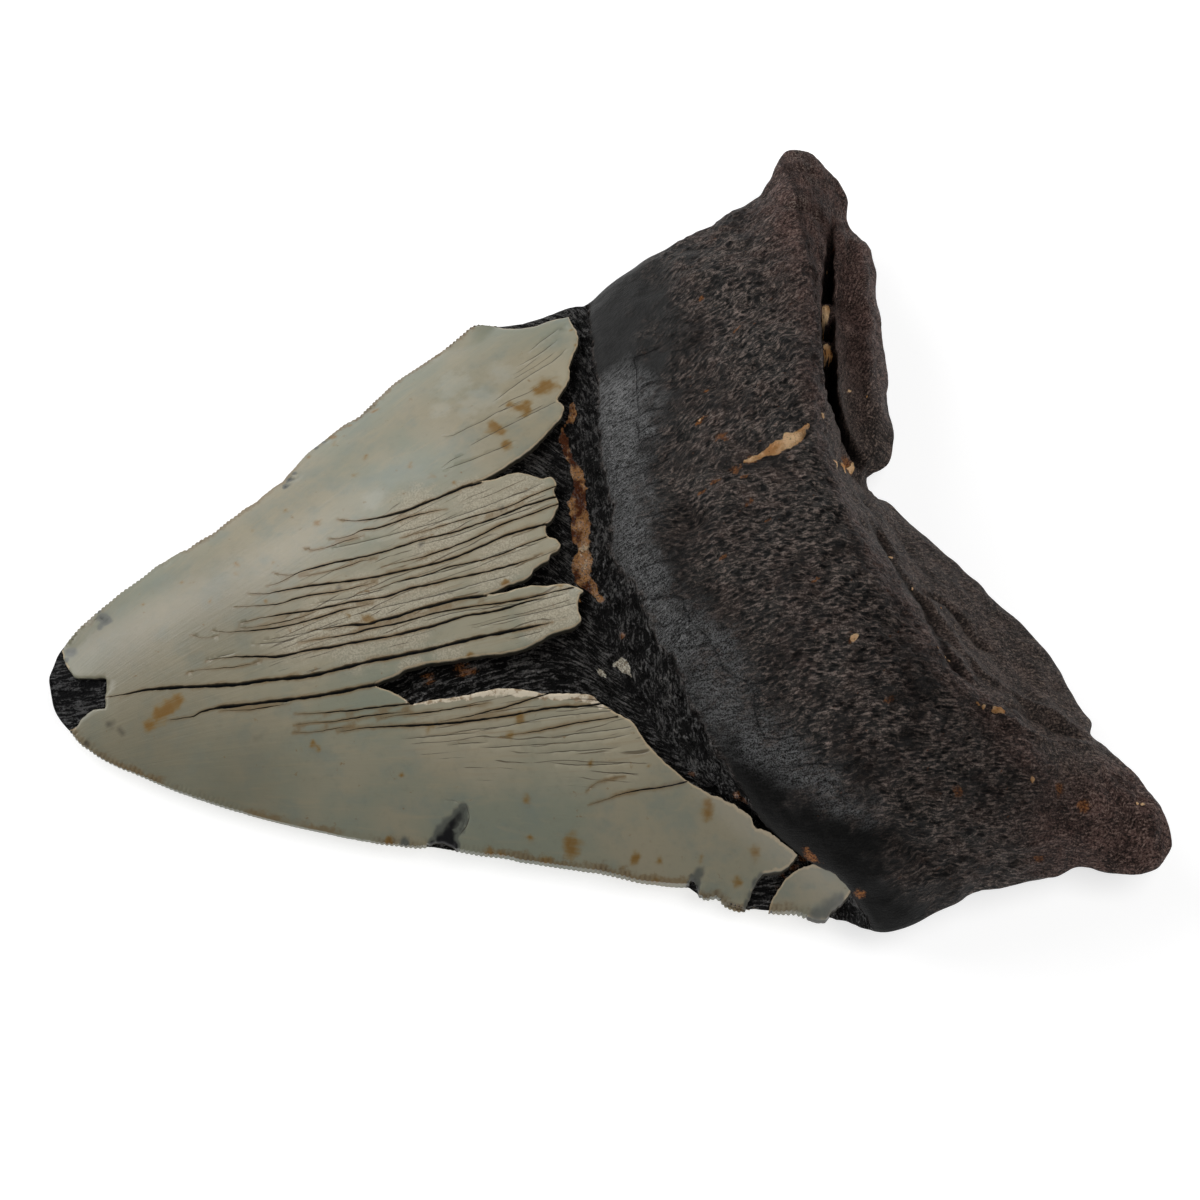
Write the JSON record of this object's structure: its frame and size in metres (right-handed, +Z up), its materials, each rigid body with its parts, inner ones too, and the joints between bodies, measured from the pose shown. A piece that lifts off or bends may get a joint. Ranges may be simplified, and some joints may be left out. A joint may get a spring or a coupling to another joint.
{
  "type": "megalodon tooth",
  "caption": "Fossil megalodon tooth lying on its labial face, with cracked enamel plates over a dark dentine core and a thick two-lobed root.",
  "frame": {"origin": "centre of the tooth's bounding box, on the surface that its labial face rests on", "axes": "+X along the tooth from the tip to the root, +Y across it towards the lobe that stands off further, +Z up out of the lingual face"},
  "size_m": [0.14, 0.116, 0.0302],
  "materials": {
    "fossil_tooth": "satin"
  },
  "bodies": {
    "root": {"tooth": "fossil_tooth"}
  },
  "joints": []
}
